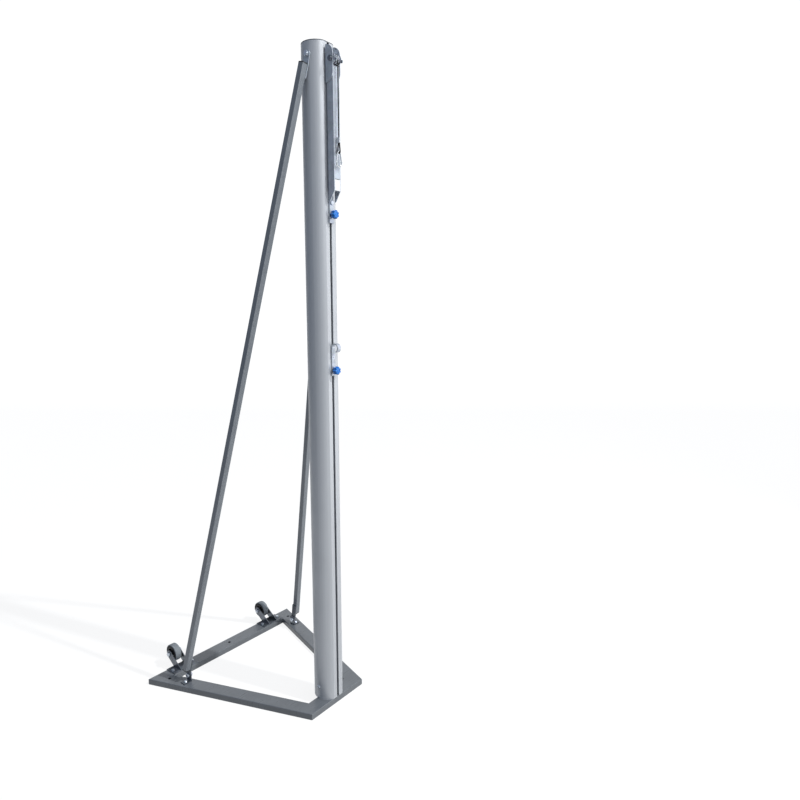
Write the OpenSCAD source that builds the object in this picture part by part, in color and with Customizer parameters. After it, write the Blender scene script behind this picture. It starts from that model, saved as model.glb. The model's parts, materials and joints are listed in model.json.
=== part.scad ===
// Free-standing volleyball net post: a wheeled trapezoid base, a round column with a rail
// along its net side, two rear struts, a sliding net hook and a lever tensioner.
// The origin is on the floor under the column's axis. X points to the net, Z points up.

/* [Base frame] */
// Width of the base along its nose edge
nose_w = 304; // [260:2:360]
// Width of the base along its rear edge
rear_w = 808; // [700:2:900]
// Depth of the base from its nose edge to its rear edge
base_depth = 737; // [680:1:800]
// Width of each base bar seen from above
bar_w = 64; // [56:1:72]
// Height of each base bar
bar_h = 26; // [22:1:34]
// Wall of the base bars
bar_wall = 3; // [2:0.5:4]
// Radius of the long edges of the base bars
bar_edge_r = 3; // [1:0.5:4]
// Diameter of the floor anchor holes
anchor_d = 14; // [10:0.5:18]
// Distance from the rear edge to the anchor holes in the arms
anchor_in = 69; // [66:1:90]

/* [Column] */
// Height of the post from the floor to the top of its cap
post_h = 2550; // [2400:10:2650]
// Diameter of the round column
column_d = 116; // [110:1:124]
// Width of the flat that carries the rail
nose_flat_w = 48; // [44:1:56]
// Wall of the column
column_wall = 4; // [3:0.5:5]
// Width of the rail's mouth
slot_w = 11.5; // [10:0.5:13]
// Width inside the rail
rail_w = 26; // [24:1:30]
// Depth inside the rail behind its lips
rail_depth = 8; // [7:0.5:10]
// Thickness of the top cap
cap_t = 3; // [2:0.5:5]
// Depth of the cap's skirt inside the column
cap_skirt = 20; // [10:1:30]
// Height of the spigot that stands inside the column's foot
spigot_h = 90; // [70:5:140]
// Wall of the spigot
spigot_wall = 6; // [4:0.5:8]
// Height of the foot screws above the base
foot_screw_up = 51; // [30:1:60]
// Diameter of the foot screws
foot_screw_d = 8; // [6:1:10]

/* [Struts] */
// Width of the square strut tube
strut_w = 24; // [20:1:28]
// Wall of the strut tube
strut_wall = 2; // [1.5:0.5:3]
// Distance from the top of the post down to the upper strut bolt
brace_drop = 48; // [40:1:80]
// Distance of the upper strut bolt in front of the column's axis
brace_x = 10; // [0:1:14]
// Distance from the nose edge back to the lower strut bolts
foot_back = 587; // [520:1:620]
// Height of the lower strut bolts above the base
foot_bolt_up = 27; // [24:1:34]
// Diameter of the strut bolts
brace_bolt_d = 10; // [8:1:12]
// Width of the flat ears on the strut ends
ear_w = 26; // [24:1:30]
// Thickness of the ears
ear_t = 4; // [3:0.5:5]
// Distance from each strut bolt to the bend of its ear
ear_bend = 32; // [28:1:40]
// Length of ear welded along the tube
ear_lap = 50; // [30:1:80]
// Thickness of the plastic strut caps
strut_cap_t = 4; // [2:0.5:6]
// Width of the foot brackets along the arm
bracket_w = 28; // [26:1:34]
// Height of the foot brackets
bracket_h = 44; // [42:1:56]
// Width of a foot bracket across the arm
bracket_foot = 36; // [32:1:42]
// Thickness of the foot brackets
bracket_t = 4; // [3:0.5:5]
// Diameter of the screws in the brackets
bracket_screw_d = 8; // [6:1:8]

/* [Transport wheels] */
// Diameter of the wheels
wheel_d = 76; // [70:1:80]
// Width of the tyres
tyre_w = 28; // [22:1:32]
// Diameter under the tyre
rim_d = 52; // [46:1:56]
// Width of the wheel hub
hub_w = 40; // [34:1:44]
// Distance of each wheel from the rear corner
wheel_in = 148; // [124:1:174]
// Distance of the wheel axle behind the rear edge
axle_back = 30; // [28:1:40]
// Height of the wheel axle above the floor
axle_z = 73; // [70:1:80]
// Diameter of the wheel axles
axle_d = 10; // [8:1:12]
// Thickness of the fork plates
fork_t = 3; // [2:0.5:4]
// Radius of the fork tips
fork_tip_r = 17; // [14:1:20]
// Length of the caster plate along the rear bar
caster_plate_l = 120; // [110:1:140]
// Distance between the two bolts of a caster plate
caster_bolt_pitch = 98; // [88:1:104]
// Diameter of the caster bolts
caster_bolt_d = 8; // [6:1:8]

/* [Net hook] */
// Height of the hook's clamp knob above the floor
hook_knob_z = 1380; // [1000:5:1450]
// Length of the hook plate below the curl
hook_plate_l = 106; // [90:1:120]
// Width of the hook plate
hook_w = 18; // [16:1:22]
// Thickness of the hook plate
hook_t = 4; // [3:0.5:5]
// Outer radius of the curl
hook_r = 17.5; // [14:0.5:20]
// Angle that the curl sweeps
hook_sweep = 250; // [200:5:260]

/* [Tensioner] */
// Distance from the top of the post to the top of the tension bar
tension_drop = 20; // [16:1:40]
// Length of the tension bar
tension_bar_l = 605; // [580:5:650]
// Width of the tension bar
tension_bar_w = 20; // [18:1:24]
// Thickness of the tension bar
tension_bar_t = 6; // [5:0.5:8]
// Height of the clamp knob above the bar's lower end
tension_knob_up = 30; // [28:1:36]
// Height of the fixing bolt above the clamp knob
tension_bolt_up = 43; // [36:1:48]
// Distance from the top of the bar down to the lever's pivot
pivot_drop = 46; // [44:1:56]
// Depth of the head bracket's cheeks
cheek_depth = 34; // [34:1:38]
// Height of the cheeks above the pivot
cheek_up = 50; // [46:1:56]
// Depth of the cheeks below the pivot
cheek_down = 77; // [70:1:90]
// Thickness of the head bracket
head_t = 3; // [2.5:0.5:4]
// Diameter of the pivot bolt
pivot_d = 10; // [8:1:10]
// Outer width of the lever channel
lever_w = 34; // [32:1:38]
// Depth of the lever channel
lever_depth = 28; // [26:1:30]
// Wall of the lever channel
lever_wall = 3; // [2:0.5:3.5]
// Length of the lever from the pivot to its tail
lever_l = 484; // [460:2:500]
// Distance from the pivot to the lower end of the lever's face
lever_face_l = 406; // [390:1:410]
// Length of the grip block below the face
grip_l = 39; // [34:1:44]
// Depth of the grip block
grip_depth = 16; // [10:1:20]
// Width of the pulley
pulley_w = 14; // [12:1:16]
// Radius at the bottom of the pulley's groove
groove_r = 14.3; // [13:0.1:16]
// Diameter of the cable
cable_d = 5; // [4:0.5:5]
// Distance from the pivot to the anchor that holds the cable's inner end
anchor_down = 154; // [130:1:200]
// Diameter of the pin that keeps the cable in the groove
keeper_d = 4; // [3:0.5:4]

/* [Knobs] */
// Outer diameter of the star knobs
knob_d = 32; // [28:1:36]
// Thickness of the star knobs
knob_t = 18; // [12:1:22]
// Number of points on a star knob
knob_points = 7; // [5:1:8]
// Radius of the hollows between the points
knob_hollow_r = 4.5; // [3:0.5:5]
// Diameter of the studs and bolts in the rail
stud_d = 8; // [6:1:8]
// Diameter of the collar behind each knob
collar_d = 16; // [14:1:18]
// Length of the collar behind each knob
collar_l = 6.4; // [4:0.2:8]

/* [Carabiner] */
// Length of the ferrule on the cable
ferrule_l = 19; // [14:1:24]
// Thickness of the ferrule
ferrule_d = 8; // [8:0.5:9]
// Radius of the cable eye, to the middle of the cable
eye_r = 5.5; // [5.5:0.25:5.75]
// Length of the cable eye, to the middle of the cable
eye_l = 39; // [30:1:44]
// Diameter of the carabiner's wire
wire_d = 5; // [4:0.5:5]
// Outer width of the carabiner
carabiner_w = 32; // [28:1:34]
// Outer length of the carabiner
carabiner_l = 58; // [54:1:64]
// Radius of the carabiner's top bend, to the middle of the wire
carabiner_top_r = 7; // [6:0.5:8]
// Length of the carabiner's nose above its gate
nose_l = 7; // [6:0.5:9]

/* [Hidden] */
$fn = 48;

// Clearances
fit = 0.3;       // seats of loose pieces and gaps between bodies
hole_gap = 0.4;  // added to a bolt's diameter for its hole
run_gap = 0.1;   // added to a shaft's diameter for a running bore

// Paint and metal colours
PAINT = "#9aa0a7";
ALUMINIUM = "#c6c9cc";
ZINC = "#b9bec4";
BLACK = "#202124";
GREY = "#8d9296";
BLUE = "#1a6fe0";

// Plan of the base, in the part's frame
column_r = column_d / 2;
nose_x = sqrt(pow(column_r, 2) - pow(nose_flat_w / 2, 2));
rear_x = nose_x - base_depth;
arm_turn = atan((rear_w - nose_w) / 2 / base_depth);
function arm_outer_y(x) = nose_w / 2 + (nose_x - x) * tan(arm_turn);
function arm_inner_y(x) = arm_outer_y(x) - bar_w / cos(arm_turn);
function arm_mid_y(x) = (arm_outer_y(x) + arm_inner_y(x)) / 2;
nose_in_x = nose_x - bar_w;
rear_in_x = rear_x + bar_w;
rear_mid_x = rear_x + bar_w / 2;
anchor_x = rear_x + anchor_in;

// Column and rail
rail_front_x = nose_x - column_wall;
rail_back_x = rail_front_x - rail_depth;
column_top = post_h - cap_t;
cap_wall = 2;
foot_screw_l = 18;

// Struts: brace_lean is their slope seen from the side, splay their slope seen from behind
brace_z = post_h - brace_drop;
foot_x = nose_x - foot_back;
foot_z = bar_h + foot_bolt_up;
bracket_y = arm_mid_y(foot_x) - bracket_foot / 2;
brace_span = norm([brace_x - foot_x, brace_z - foot_z]);
brace_lean = atan((brace_x - foot_x) / (brace_z - foot_z));
ear_top_y = column_r + fit;
ear_foot_y = bracket_y + bracket_t;
strut_top_y = ear_top_y + ear_t;
splay = atan((ear_foot_y - ear_top_y) / (brace_span - 2 * ear_bend));
strut_l = norm([ear_foot_y - ear_top_y, brace_span - 2 * ear_bend]);
strut_end = strut_cap_t + 0.5;
strut_edge_r = 2;
plug_l = 12;
washer_t = 2;

// Wheels
axle_x = rear_x - axle_back;
wheel_y = rear_w / 2 - wheel_in;
fork_gap = hub_w + 4;
fork_outer = fork_gap / 2 + fork_t;
caster_top = bar_h + fork_t;

// Rail fittings, with their distances in front of the flat measured from nose_x
seat_x = nose_x + fit;
nut_t = rail_depth - 2 * fit;
nut_w = rail_w - 2 * fit;
neck_w = slot_w - 2 * fit;
nut_end = 14;         // from the last bore of a slide nut to its end
hook_low_z = hook_knob_z - 20;
hook_top_z = hook_low_z + hook_plate_l;
hook_screw_z = hook_knob_z + 50;
hook_front = seat_x + hook_t;

// Tensioner
tension_top = post_h - tension_drop;
tension_bottom = tension_top - tension_bar_l;
tension_knob_z = tension_bottom + tension_knob_up;
tension_bolt_z = tension_knob_z + tension_bolt_up;
bar_front = seat_x + tension_bar_t;
head_front = bar_front + head_t;
wrap_r = groove_r + 0.2 + cable_d / 2;
pivot_x = head_front + 0.7 + cable_d / 2 + wrap_r;
pivot_z = tension_top - pivot_drop;
flange_r = wrap_r + 1.5;
lever_back = head_front + fit;
lever_front = lever_back + lever_depth;
lever_top_r = pivot_x - head_front - 0.7;
lever_in = lever_w / 2 - lever_wall;
face_top = pivot_z - flange_r - 4.5;
face_bottom = pivot_z - lever_face_l;
grip_bottom = face_bottom - 2 - grip_l;
tail_z = pivot_z - lever_l;
cheek_in = lever_w / 2 + fit;
cheek_out = cheek_in + head_t;
keeper_out = wrap_r + cable_d / 2 + keeper_d / 2 + 0.35;
keeper_drop = 7;
keeper_ear = 3.5;
head_screw_z = pivot_z - cheek_down + 22;
head_nut = 20;        // half the length of the slide nut behind the head bracket
anchor_z = pivot_z - anchor_down;
anchor_depth = 12;
anchor_h = 14;
stop_l = 12;          // length of the stop crimped on the cable's inner end
cable_x = pivot_x + wrap_r;

// The free cable hangs straight from the pulley to its ferrule
cable_points = [[0, 0, 0], [0, 0, -90], [0, 0, -180], [0, 0, -264]];
cable_end_z = pivot_z - 264;
cable_sides = 10;
cable_step = 12;
eye_top_z = cable_end_z - ferrule_l + 4;
eye_arc_z = eye_top_z - (eye_l - eye_r);
eye_low_z = eye_arc_z - eye_r;
eye_start_z = eye_top_z - 3.4;
leg_out = 2.7;        // half the distance between the two legs in the ferrule
leg_seat = 4;         // depth of the legs' holes in the ferrule
bead = 0.2;           // added to a wire's diameter at its ends

// Carabiner, in its own plane: y across and z up, counted from the eye's lowest point
bite = cable_d / 2 + wire_d / 2 + 0.4;
top_z = bite - carabiner_top_r;
low_r = carabiner_w / 2 - wire_d / 2;
low_z = bite + wire_d / 2 - carabiner_l + carabiner_w / 2;
side_turn = asin((low_r - carabiner_top_r) / (top_z - low_z));
side_l = sqrt(pow(top_z - low_z, 2) - pow(low_r - carabiner_top_r, 2));
gate_l = side_l - nose_l - 0.6;
gate_pin_d = 2;
gate_t = 2;
hinge_up = 2;         // height of the gate's pin above the end of the bend
blade_l = 5.4;        // length of the gate's flat tongue

// Shared fasteners: their seat is at z = 0, the head above it and the shank below
module hex_head(across, h) {
    corner = across / sqrt(3);
    intersection() {
        cylinder(r = corner, h = h, $fn = 6);
        rotate_extrude()
            polygon([[0, 0], [corner, 0], [corner, h - 0.15 * across], [across / 2, h], [0, h]]);
    }
}

module hex_bolt(d, l) {
    hex_head(1.7 * d, 0.64 * d);
    translate([0, 0, -l])
        cylinder(d = d, h = l);
}

module hex_nut(d) {
    difference() {
        hex_head(1.7 * d, 0.8 * d);
        translate([0, 0, -1])
            cylinder(d = d + run_gap, h = d + 2);
    }
}

module button_screw(d, l) {
    difference() {
        rotate_extrude()
            polygon([[0, 0], [0.9 * d, 0], [0.9 * d, 0.15 * d], [0.6 * d, 0.5 * d], [0, 0.5 * d]]);
        translate([0, 0, 0.2 * d])
            cylinder(d = 0.65 * d, h = d, $fn = 6);
    }
    translate([0, 0, -l])
        cylinder(d = d, h = l);
}

// A countersunk screw is flush at z = 0
module flush_screw(d, l) {
    difference() {
        union() {
            flush_cone(d);
            translate([0, 0, -l])
                cylinder(d = d, h = l - 0.1);
        }
        translate([0, 0, -0.4 * d])
            cylinder(d = 0.6 * d, h = d, $fn = 6);
    }
}

module flush_cone(d) {
    rotate_extrude()
        polygon([[0, 0], [0.9 * d, 0], [0.5 * d, -0.45 * d], [0, -0.45 * d]]);
}

module round_square(w, h, r) {
    translate([-w / 2 + r, 0])
        square([w - 2 * r, h]);
    translate([-w / 2, r])
        square([w, h - 2 * r]);
    for (x = [-w / 2 + r, w / 2 - r], y = [r, h - r])
        translate([x, y])
            circle(r);
}

module mirror_copy() {
    children();
    mirror([0, 1, 0])
        children();
}

// Base frame: each bar runs between two outer corners, with its mitred ends cut by its plan
module tube_section() {
    difference() {
        round_square(bar_w, bar_h, bar_edge_r);
        translate([0, bar_wall])
            round_square(bar_w - 2 * bar_wall, bar_h - 2 * bar_wall, bar_edge_r / 2);
    }
}

module bar_between(from, to, to_in, from_in) {
    run = to - from;
    color(PAINT)
        difference() {
            intersection() {
                translate([from.x, from.y, 0])
                    rotate([0, 0, atan2(run.y, run.x)])
                        rotate([90, 0, 90])
                            linear_extrude(norm(run))
                                translate([bar_w / 2, 0])
                                    tube_section();
                translate([0, 0, -1])
                    linear_extrude(bar_h + 2)
                        polygon([from, to, to_in, from_in]);
            }
            base_holes();
        }
}

module base_holes() {
    for (y = [-arm_mid_y(anchor_x), arm_mid_y(anchor_x)])
        translate([anchor_x, y, -1])
            cylinder(d = anchor_d, h = bar_h + 2);
    translate([rear_mid_x, 0, -1])
        cylinder(d = anchor_d, h = bar_h + 2);
    mirror_copy() {
        caster_bolt_places()
            translate([0, 0, -bar_h / 2])
                cylinder(d = caster_bolt_d + hole_gap, h = bar_h);
        translate([foot_x, bracket_screw_y(), bar_h / 2])
            cylinder(d = bracket_screw_d + hole_gap, h = bar_h);
    }
}

nose_out = [nose_x, nose_w / 2];
rear_out = [rear_x, rear_w / 2];
nose_in = [nose_in_x, arm_inner_y(nose_in_x)];
rear_in = [rear_in_x, arm_inner_y(rear_in_x)];
function flip(p) = [p.x, -p.y];

module nose_bar() {
    bar_between(flip(nose_out), nose_out, nose_in, flip(nose_in));
}

module left_arm() {
    bar_between(nose_out, rear_out, rear_in, nose_in);
}

module rear_bar() {
    bar_between(rear_out, flip(rear_out), flip(rear_in), rear_in);
}

module right_arm() {
    bar_between(flip(rear_out), flip(nose_out), flip(nose_in), flip(rear_in));
}

// Column: a round tube with a flat nose, and a T-shaped rail inside the flat
module disc_with_flat(r, flat_x) {
    intersection() {
        circle(r, $fn = 96);
        translate([-r - 1, -r - 1])
            square([r + 1 + flat_x, 2 * r + 2]);
    }
}

module column_hollow(inset) {
    difference() {
        disc_with_flat(column_r - column_wall - inset, rail_front_x - inset);
        translate([rail_back_x - column_wall - inset, -rail_w / 2 - column_wall - inset])
            square([column_r, rail_w + 2 * column_wall + 2 * inset]);
    }
}

module column_section() {
    difference() {
        disc_with_flat(column_r, nose_x);
        column_hollow(0);
        translate([rail_back_x, -rail_w / 2])
            square([rail_depth, rail_w]);
        translate([rail_front_x - 1, -slot_w / 2])
            square([column_wall + 2, slot_w]);
    }
}

module cross_bore(x, z, d) {
    translate([x, 0, z])
        rotate([90, 0, 0])
            cylinder(d = d, h = 2 * column_d, center = true);
}

module column() {
    color(ALUMINIUM)
        difference() {
            translate([0, 0, bar_h])
                linear_extrude(column_top - bar_h)
                    column_section();
            cross_bore(0, bar_h + foot_screw_up, foot_screw_d + hole_gap);
            cross_bore(brace_x, brace_z, brace_bolt_d + hole_gap);
        }
}

module foot_spigot() {
    spigot_r = column_r - column_wall - fit;
    spigot_x = rail_back_x - column_wall - fit;
    color(PAINT)
        difference() {
            translate([0, 0, bar_h])
                linear_extrude(spigot_h)
                    difference() {
                        disc_with_flat(spigot_r, spigot_x);
                        disc_with_flat(spigot_r - spigot_wall, spigot_x - spigot_wall);
                    }
            cross_bore(0, bar_h + foot_screw_up, foot_screw_d + run_gap);
        }
}

module column_screws() {
    color(ZINC)
        mirror_copy()
            translate([0, column_r + fit, bar_h + foot_screw_up])
                rotate([-90, 0, 0])
                    button_screw(foot_screw_d, foot_screw_l);
}

module top_cap() {
    color(GREY) {
        translate([0, 0, column_top])
            linear_extrude(cap_t)
                disc_with_flat(column_r, nose_x);
        translate([0, 0, column_top - cap_skirt])
            linear_extrude(cap_skirt)
                difference() {
                    column_hollow(fit);
                    column_hollow(fit + cap_wall);
                }
    }
}

// Struts: local x lies in the ear's plane, y points outwards and z runs up the strut
module brace_frame() {
    translate([brace_x, 0, brace_z])
        rotate([0, brace_lean, 0])
            children();
}

module strut_frame() {
    brace_frame()
        translate([0, strut_top_y, -ear_bend])
            rotate([splay, 0, 0])
                children();
}

module strut() {
    color(PAINT)
        strut_frame()
            translate([0, 0, strut_end - strut_l])
                linear_extrude(strut_l - 2 * strut_end)
                    difference() {
                        round_square(strut_w, strut_w, strut_edge_r);
                        translate([0, strut_wall])
                            square_hole(strut_w - 2 * strut_wall);
                    }
}

module square_hole(w) {
    translate([-w / 2, 0])
        square(w);
}

module left_strut() {
    strut();
}

module right_strut() {
    mirror([0, 1, 0])
        strut();
}

module strut_cap() {
    plug = strut_w - 2 * strut_wall - 2 * fit;
    linear_extrude(strut_cap_t)
        round_square(strut_w, strut_w, strut_edge_r);
    translate([0, strut_wall + fit, -plug_l])
        linear_extrude(plug_l)
            square_hole(plug);
}

module strut_caps() {
    color(BLACK)
        mirror_copy()
            strut_frame() {
                translate([0, 0, -strut_end])
                    strut_cap();
                translate([0, 0, strut_end - strut_l])
                    mirror([0, 0, 1])
                        strut_cap();
            }
}

// An ear is a flat strip, bent once where the strut starts to lean. The profile is [y, z].
module ear(y, bend_z, way) {
    inner_shift = ear_t * tan(splay / 2);
    lean = way * [sin(splay), -cos(splay)];
    skin = [cos(splay), sin(splay)];
    outer_bend = [y + ear_t, bend_z];
    outer_end = outer_bend + ear_lap * lean;
    end_z = bend_z + way * (ear_bend + ear_w / 2);
    bolt_z = bend_z + way * ear_bend;
    color(ZINC)
        brace_frame()
            difference() {
                intersection() {
                    rotate([90, 0, 90])
                        linear_extrude(ear_w, center = true)
                            polygon([[y, end_z], [y, bend_z - inner_shift], outer_end - ear_t * skin,
                                outer_end, outer_bend, [y + ear_t, end_z]]);
                    ear_outline(y, bolt_z, way);
                }
                translate([0, y + ear_t / 2, bolt_z])
                    rotate([90, 0, 0])
                        cylinder(d = brace_bolt_d + hole_gap, h = 3 * ear_t, center = true);
            }
}

module ear_outline(y, bolt_z, way) {
    reach = ear_bend + ear_lap + 10;
    translate([0, y, bolt_z])
        rotate([90, 0, 0])
            linear_extrude(60, center = true) {
                circle(d = ear_w);
                translate([-ear_w / 2, way > 0 ? -reach : 0])
                    square([ear_w, reach]);
            }
}

module upper_ear() {
    ear(ear_top_y, -ear_bend, 1);
}

module lower_ear() {
    ear(ear_foot_y, ear_bend - brace_span, -1);
}

module left_upper_ear() {
    upper_ear();
}

module right_upper_ear() {
    mirror([0, 1, 0])
        upper_ear();
}

module left_lower_ear() {
    lower_ear();
}

module right_lower_ear() {
    mirror([0, 1, 0])
        lower_ear();
}

module brace_bolt() {
    seat = strut_top_y + washer_t;
    color(ZINC)
        translate([brace_x, -seat, brace_z])
            rotate([90, 0, 0])
                hex_bolt(brace_bolt_d, 2 * seat + brace_bolt_d + 2);
}

module brace_nut() {
    color(ZINC)
        translate([brace_x, strut_top_y + washer_t, brace_z])
            rotate([-90, 0, 0])
                hex_nut(brace_bolt_d);
}

module brace_washers() {
    color(ZINC)
        mirror_copy()
            translate([brace_x, strut_top_y, brace_z])
                rotate([-90, 0, 0])
                    difference() {
                        cylinder(d = 2.1 * brace_bolt_d, h = washer_t);
                        translate([0, 0, -1])
                            cylinder(d = brace_bolt_d + hole_gap, h = washer_t + 2);
                    }
}

// Foot brackets: an angle on each arm, with its leg inside the strut's lower ear
function bracket_screw_y() = bracket_y + bracket_t + (bracket_foot - bracket_t) / 2 + 2;

module foot_bracket() {
    color(ZINC)
        difference() {
            translate([foot_x - bracket_w / 2, bracket_y, bar_h]) {
                cube([bracket_w, bracket_t, bracket_h]);
                cube([bracket_w, bracket_foot, bracket_t]);
            }
            translate([foot_x, bracket_y, foot_z])
                rotate([90, 0, 0])
                    cylinder(d = brace_bolt_d + hole_gap, h = 4 * bracket_t, center = true);
            translate([foot_x, bracket_screw_y(), bar_h - 1])
                cylinder(d = bracket_screw_d + hole_gap, h = bracket_t + 2);
        }
}

module left_foot_bracket() {
    foot_bracket();
}

module right_foot_bracket() {
    mirror([0, 1, 0])
        foot_bracket();
}

module foot_bolts() {
    color(ZINC)
        mirror_copy()
            translate([foot_x, ear_foot_y + ear_t, foot_z])
                rotate([-90, 0, 0])
                    hex_bolt(brace_bolt_d, ear_t + bracket_t + brace_bolt_d + 1);
}

module foot_nuts() {
    color(ZINC)
        mirror_copy()
            translate([foot_x, bracket_y, foot_z])
                rotate([90, 0, 0])
                    hex_nut(brace_bolt_d);
}

module bracket_screws() {
    color(ZINC)
        mirror_copy()
            translate([foot_x, bracket_screw_y(), bar_h + bracket_t])
                button_screw(bracket_screw_d, bracket_t + bar_h - bar_wall - 3);
}

// Transport wheels: a plate on the rear bar carries two slanted fork plates and the axle
module caster_bolt_places() {
    for (way = [-1, 1])
        translate([rear_mid_x, wheel_y + way * caster_bolt_pitch / 2, caster_top])
            children();
}

function tangent_point(from, centre, r, side) =
    let (gap = from - centre, a = atan2(gap.y, gap.x) + side * acos(r / norm(gap)))
    centre + r * [cos(a), sin(a)];

module fork_plate() {
    tip = [axle_x, axle_z];
    low = [rear_x + 1, bar_h + fork_t / 2];
    high = [rear_in_x - 4, bar_h + fork_t / 2];
    rotate([90, 0, 0])
        linear_extrude(fork_t, center = true)
            difference() {
                union() {
                    translate(tip)
                        circle(fork_tip_r);
                    polygon([low, high, tangent_point(high, tip, fork_tip_r, 1), tip,
                        tangent_point(low, tip, fork_tip_r, -1)]);
                }
                translate(tip)
                    circle(d = axle_d + run_gap);
            }
}

module caster_bracket() {
    color(ZINC)
        difference() {
            union() {
                translate([rear_x, wheel_y - caster_plate_l / 2, bar_h])
                    cube([bar_w - 2, caster_plate_l, fork_t]);
                for (way = [-1, 1])
                    translate([0, wheel_y + way * (fork_gap + fork_t) / 2, 0])
                        fork_plate();
            }
            caster_bolt_places()
                cylinder(d = caster_bolt_d + hole_gap, h = 4 * fork_t, center = true);
        }
}

module left_caster_bracket() {
    caster_bracket();
}

module right_caster_bracket() {
    mirror([0, 1, 0])
        caster_bracket();
}

module caster_bolts() {
    color(ZINC)
        mirror_copy()
            caster_bolt_places()
                hex_bolt(caster_bolt_d, bar_h - bar_wall - 4);
}

module wheel_axles() {
    color(ZINC)
        mirror_copy()
            translate([axle_x, wheel_y + fork_outer, axle_z])
                rotate([-90, 0, 0])
                    hex_bolt(axle_d, 2 * fork_outer + axle_d);
}

module axle_nuts() {
    color(ZINC)
        mirror_copy()
            translate([axle_x, wheel_y - fork_outer, axle_z])
                rotate([90, 0, 0])
                    hex_nut(axle_d);
}

module wheel_frame() {
    translate([axle_x, wheel_y, axle_z])
        rotate([90, 0, 0])
            children();
}

module wheel_hub() {
    boss_r = axle_d / 2 + 5;
    rim_r = rim_d / 2;
    rim_in = rim_r - 4;
    web = 4;
    bore_r = (axle_d + run_gap) / 2;
    half = hub_w / 2;
    color(BLACK)
        wheel_frame()
            rotate_extrude()
                polygon([[bore_r, -half], [boss_r, -half], [boss_r, -web], [rim_in, -web],
                    [rim_in, -tyre_w / 2], [rim_r, -tyre_w / 2], [rim_r, tyre_w / 2],
                    [rim_in, tyre_w / 2], [rim_in, web], [boss_r, web], [boss_r, half],
                    [bore_r, half]]);
}

module tyre() {
    inner = rim_d / 2 + 0.05;
    outer = wheel_d / 2;
    half = tyre_w / 2;
    soft = 3;
    color("#8a9091")
        wheel_frame()
            rotate_extrude() {
                translate([inner, -half])
                    square([outer - inner - soft, tyre_w]);
                translate([inner, -half + soft])
                    square([outer - inner, tyre_w - 2 * soft]);
                for (z = [-half + soft, half - soft])
                    translate([outer - soft, z])
                        circle(soft);
            }
}

module left_wheel_hub() {
    wheel_hub();
}

module left_tyre() {
    tyre();
}

module right_wheel_hub() {
    mirror([0, 1, 0])
        wheel_hub();
}

module right_tyre() {
    mirror([0, 1, 0])
        tyre();
}

// Rail fittings
module slide_nut(low_z, high_z) {
    translate([rail_back_x + fit, -nut_w / 2, low_z])
        cube([nut_t, nut_w, high_z - low_z]);
    translate([rail_back_x + fit, -neck_w / 2, low_z])
        cube([nose_x - rail_back_x - fit, neck_w, high_z - low_z]);
}

module rail_bore(z, d) {
    translate([rail_back_x - 1, 0, z])
        rotate([0, 90, 0])
            cylinder(d = d, h = column_r);
}

module flush_seat(front_x, z) {
    translate([front_x, 0, z])
        rotate([0, 90, 0])
            flush_cone(stud_d + hole_gap);
}

// A stud with its collar: the collar's back face is at front_x
module knob_stud(front_x, z) {
    back = front_x + fit - rail_back_x - 2 * fit;
    translate([front_x + fit, 0, z])
        rotate([0, 90, 0]) {
            cylinder(d = collar_d, h = collar_l);
            translate([0, 0, -back])
                cylinder(d = stud_d, h = back + collar_l + knob_t - 4);
        }
}

module star_knob(front_x, z) {
    color(BLUE)
        translate([front_x + fit + collar_l, 0, z])
            rotate([0, 90, 0])
                difference() {
                    linear_extrude(knob_t)
                        difference() {
                            circle(d = knob_d);
                            for (i = [0:knob_points - 1])
                                rotate(360 / knob_points * i)
                                    translate([knob_d / 2 + knob_hollow_r / 3, 0])
                                        circle(knob_hollow_r);
                        }
                    translate([0, 0, -1])
                        cylinder(d = stud_d, h = knob_t - 3);
                }
}

// Net hook
module hook_plate() {
    color(ZINC)
        difference() {
            union() {
                translate([seat_x, -hook_w / 2, hook_low_z])
                    cube([hook_t, hook_w, hook_plate_l]);
                translate([seat_x + hook_r, 0, hook_top_z])
                    rotate([90, 0, 0])
                        mirror([1, 0, 0])
                            rotate_extrude(angle = hook_sweep)
                                translate([hook_r - hook_t, -hook_w / 2])
                                    square([hook_t, hook_w]);
            }
            rail_bore(hook_knob_z, stud_d + hole_gap);
            rail_bore(hook_screw_z, stud_d + hole_gap);
            flush_seat(hook_front, hook_screw_z);
        }
}

module hook_slide_nut() {
    color(ZINC)
        difference() {
            slide_nut(hook_knob_z - nut_end, hook_screw_z + nut_end);
            rail_bore(hook_knob_z, stud_d + run_gap);
            rail_bore(hook_screw_z, stud_d + run_gap);
        }
}

module hook_screw() {
    color(ZINC)
        translate([hook_front, 0, hook_screw_z])
            rotate([0, 90, 0])
                flush_screw(stud_d, hook_front - rail_back_x - 2 * fit);
}

module hook_stud() {
    color(BLACK)
        knob_stud(hook_front, hook_knob_z);
}

module hook_knob() {
    star_knob(hook_front, hook_knob_z);
}

// Tensioner carriage
module tension_bar() {
    color(ZINC)
        difference() {
            translate([seat_x, -tension_bar_w / 2, tension_bottom])
                cube([tension_bar_t, tension_bar_w, tension_bar_l]);
            for (z = [tension_knob_z, tension_bolt_z, head_screw_z])
                rail_bore(z, stud_d + hole_gap);
            flush_seat(head_front, head_screw_z);
        }
}

module tension_slide_nuts() {
    color(ZINC)
        difference() {
            union() {
                slide_nut(tension_knob_z - nut_end, tension_bolt_z + nut_end);
                slide_nut(head_screw_z - head_nut, head_screw_z + head_nut);
            }
            for (z = [tension_knob_z, tension_bolt_z, head_screw_z])
                rail_bore(z, stud_d + run_gap);
        }
}

module tension_bolt() {
    color(ZINC)
        translate([bar_front, 0, tension_bolt_z])
            rotate([0, 90, 0])
                hex_bolt(stud_d, bar_front - rail_back_x - 2 * fit);
}

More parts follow.
